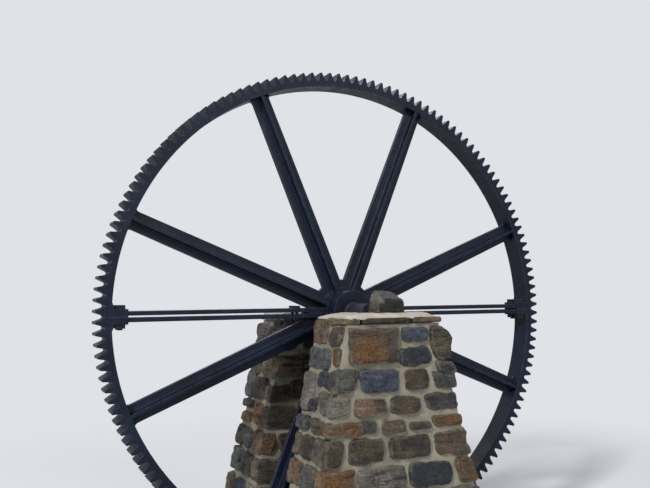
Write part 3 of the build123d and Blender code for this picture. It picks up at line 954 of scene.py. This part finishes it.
# slabs and mortar on top of the piers, with the shaft's seat cut in them
topping = {
    "tints": {
        "front": {"left": "tan", "middle": "brown", "right": "roughBrown"},
        "rear": {"left": "grey", "middle": "maroon", "right": "tan"},
    },
    "joints": {"front": (-0.190, 0.152), "rear": (-0.128, 0.131)},
    "joint": 0.005,           # half the gap between two slabs
    "seeds": {"front": 5, "rear": 9},
    "lift": 0.003,            # of a slab's underside
    "sink": 0.002,            # of its top
    "squareness": 14,
    "rough": 0.010,
    "sharp": 40,
    "shortSlab": 0.52,        # the front left slab's share of the depth: a tall stone stands behind it
    "redFrom": 0.020,         # the front middle slab is red-brown to the right of this
    "redBrown": (52, 36, 26),
    "redRust": 0.2,
    "seatRadius": 0.0574,
    "seatSegments": 72,
    "seatPastEnd": 0.012,     # how far the seat is cut past the shaft's end
}
crownShape = {
    "cuts": 46,
    "sink": 0.010,            # of the underside into the slabs
    "shrink": 0.004,
    "squareness": 16,
    "noise": (1.0, 2.0, 4),
    "noiseScale": 9,
    "ragged": 0.006,
    "rise": 0.004,
    "edgeFrom": 0.80,         # share of the half width where the top starts to fall to the edge
    "edgeFall": 0.012,
    "leftFall": 0.014,
    "rightFrom": 0.72,
    "rightFall": 0.010,
    "sharp": 60,
}


def cutSeat(piece, place):
    side = -1 if place == "front" else 1
    radius = topping["seatRadius"]
    end = max(abs(corner[1]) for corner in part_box("shaft")) + topping["seatPastEnd"]
    bm = bmesh.new()
    bmesh.ops.create_cone(
        bm, cap_ends=True, segments=topping["seatSegments"], radius1=radius, radius2=radius, depth=end
    )
    bmesh.ops.rotate(bm, verts=bm.verts[:], matrix=Matrix.Rotation(math.pi / 2, 3, "X"))
    bmesh.ops.translate(bm, verts=bm.verts[:], vec=(0, side * end / 2, axisHeight))
    mesh = bpy.data.meshes.new("seatCutter")
    bm.to_mesh(mesh)
    bm.free()
    cutter = bpy.data.objects.new("seatCutter", mesh)
    scene.collection.objects.link(cutter)
    carve = piece.modifiers.new("seat", "BOOLEAN")
    carve.operation = "DIFFERENCE"
    carve.solver = "EXACT"
    carve.object = cutter
    shaped = bpy.data.meshes.new_from_object(piece.evaluated_get(bpy.context.evaluated_depsgraph_get()))
    piece.modifiers.clear()
    piece.data = shaped
    bpy.data.objects.remove(cutter)


def buildSlab(place, spot, dice):
    low, high = (Vector(corner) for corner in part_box(f"{place}_cap_{spot}"))
    outer, wheel = (low.y, high.y) if place == "front" else (high.y, low.y)
    if place == "front" and spot == "left":
        wheel = outer + (wheel - outer) * topping["shortSlab"]
    first, second = topping["joints"][place]
    gap = topping["joint"]
    left = {"left": low.x, "middle": first + gap, "right": second + gap}[spot]
    right = {"left": first - gap, "middle": second - gap, "right": high.x}[spot]
    plan = ((left, outer), (right, outer), (right, wheel), (left, wheel))
    levels = (low.z + topping["lift"], high.z - topping["sink"])
    bm = emptyStones()
    corners = [Vector((x, y, z)) for z in levels for x, y in plan]
    tintName = topping["tints"][place][spot]
    layStone(bm, corners, tintName, topping["squareness"], dice, topping["rough"], 1, None, 1)
    redBrown = (*screenColor(*topping["redBrown"])[:3], topping["redRust"])
    tintLayer = bm.verts.layers.float_color["stoneTint"]
    for vert in bm.verts:
        vert.co.z = min(vert.co.z, high.z)
        if place == "front" and spot == "middle" and vert.co.x > topping["redFrom"]:
            vert[tintLayer] = redBrown
    slab = finishPiece(bm, f"{place}_cap_{spot}_stone", rubbleMat, "piers", topping["sharp"])
    if spot == "middle":
        cutSeat(slab, place)
    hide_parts(f"{place}_cap_{spot}")


def buildCrown(place, seed):  # higher in the middle, and sloping down to its left and right ends
    side = -1 if place == "front" else 1
    shape = crownShape
    low, high = (Vector(corner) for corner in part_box(f"{place}_mortar_crown"))
    bm = bmesh.new()
    bmesh.ops.create_cube(bm, size=2)
    bmesh.ops.subdivide_edges(bm, edges=bm.edges[:], cuts=shape["cuts"], use_grid_fill=True)
    drift = Vector((seed * 1.7, seed, 3))
    power = shape["squareness"]
    bottom = low.z - shape["sink"]
    for vert in bm.verts:
        a, b, c = vert.co
        edge = max(abs(a), abs(b))
        pull = (abs(a) ** power + abs(b) ** power) ** (1 / power) / max(edge, 0.001)
        x = (low.x + high.x) / 2 + a / pull * ((high.x - low.x) / 2 - shape["shrink"])
        y = (low.y + high.y) / 2 + b / pull * ((high.y - low.y) / 2 - shape["shrink"])
        spot = Vector((x, y, 0)) * shape["noiseScale"] + drift
        ragged = noise.fractal(spot, *shape["noise"]) * shape["ragged"]
        x += a * ragged
        y += b * ragged
        fall = max(0.0, (edge - shape["edgeFrom"]) / (1 - shape["edgeFrom"]))
        leftward = max(0.0, -a) ** 3 * max(0.0, (b * -side + 1) / 2)
        rightward = max(0.0, a - shape["rightFrom"]) / (1 - shape["rightFrom"])
        top = high.z + shape["rise"] + ragged - shape["edgeFall"] * fall ** 2
        top -= shape["leftFall"] * leftward + shape["rightFall"] * rightward ** 2
        vert.co = Vector((x, y, bottom + (top - bottom) * (c + 1) / 2))
    crown = finishPiece(bm, f"{place}_crown", crownMat, "piers", shape["sharp"])
    cutSeat(crown, place)
    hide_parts(f"{place}_mortar_crown")
    print(place, "crown of", len(crown.data.polygons), "faces")


for place, seed in topping["seeds"].items():
    dice = random.Random(seed)
    for spot in ("left", "middle", "right"):
        buildSlab(place, spot, dice)
    buildCrown(place, seed)

# loose stone with a slanting top, its upper left painted pale as painted light and its top painted blue-grey
# as painted shade: corners as shares of its solid's box
looseStone = {
    "base": [(0.04, 0.06), (1.10, -0.02), (1.14, 0.92), (0.06, 1.02)],
    "crest": [(0.16, 0.03), (1.10, 0.04), (0.98, 0.92), (0.20, 0.86)],
    "crestHeights": (0.70, 0.60, 0.98, 1.08),
    "seed": 41,
    "squareness": 11,
    "rough": 0.009,
    "chips": 5,
    "facets": 2,
    "deepStep": 0.010,
    "sink": 0.002,
    "sharp": 32,
    "rust": 0.15,
    "olive": (38, 35, 27),
    "pale": (114, 111, 112),
    "litFacePaleFrom": 0.44,         # the pale face, painted light, is above this share of the height
    "litFacePaleReach": (0.30, -0.1),  # and left of this share of the width, with its change up to the top
    # the blue-grey top: the stone's lavender-grey, darkened as painted shade
    "shadedTopBlue": (62, 64, 76),
    "shadedTopBlueFrom": (0.58, 0.36),  # share of the height at the front, and its rise toward the back
}


def looseTone(along, back, up):
    reach, change = looseStone["litFacePaleReach"]
    height, rise = looseStone["shadedTopBlueFrom"]
    if along < reach + change * up and up > looseStone["litFacePaleFrom"]:
        return "pale"
    return "shadedTopBlue" if up > height + rise * back else "olive"


def buildLooseStone():
    low, high = (Vector(corner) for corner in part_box("loose_stone"))
    span = high - low
    corners = [Vector((low.x + span.x * x, low.y + span.y * y, low.z)) for x, y in looseStone["base"]]
    for (x, y), height in zip(looseStone["crest"], looseStone["crestHeights"]):
        corners.append(Vector((low.x + span.x * x, low.y + span.y * y, low.z + span.z * height)))
    bm = emptyStones()
    layStone(
        bm, corners, "grey", looseStone["squareness"], random.Random(looseStone["seed"]),
        looseStone["rough"], looseStone["chips"], looseStone["deepStep"], looseStone["facets"],
    )
    tintLayer = bm.verts.layers.float_color["stoneTint"]
    # each part gets its tone: painted light on the pale upper left, painted shade on the blue-grey top, olive
    # elsewhere
    for vert in bm.verts:
        away = vert.co - low
        tone = looseTone(away.x / span.x, away.y / span.y, away.z / span.z)
        vert[tintLayer] = (*screenColor(*looseStone[tone])[:3], looseStone["rust"])
        vert.co.z = max(vert.co.z, low.z - looseStone["sink"])
    piece = finishPiece(bm, "loose_rubble_stone", rubbleMat, "piers", looseStone["sharp"])
    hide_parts("loose_stone")


buildLooseStone()
print("loose stone set")
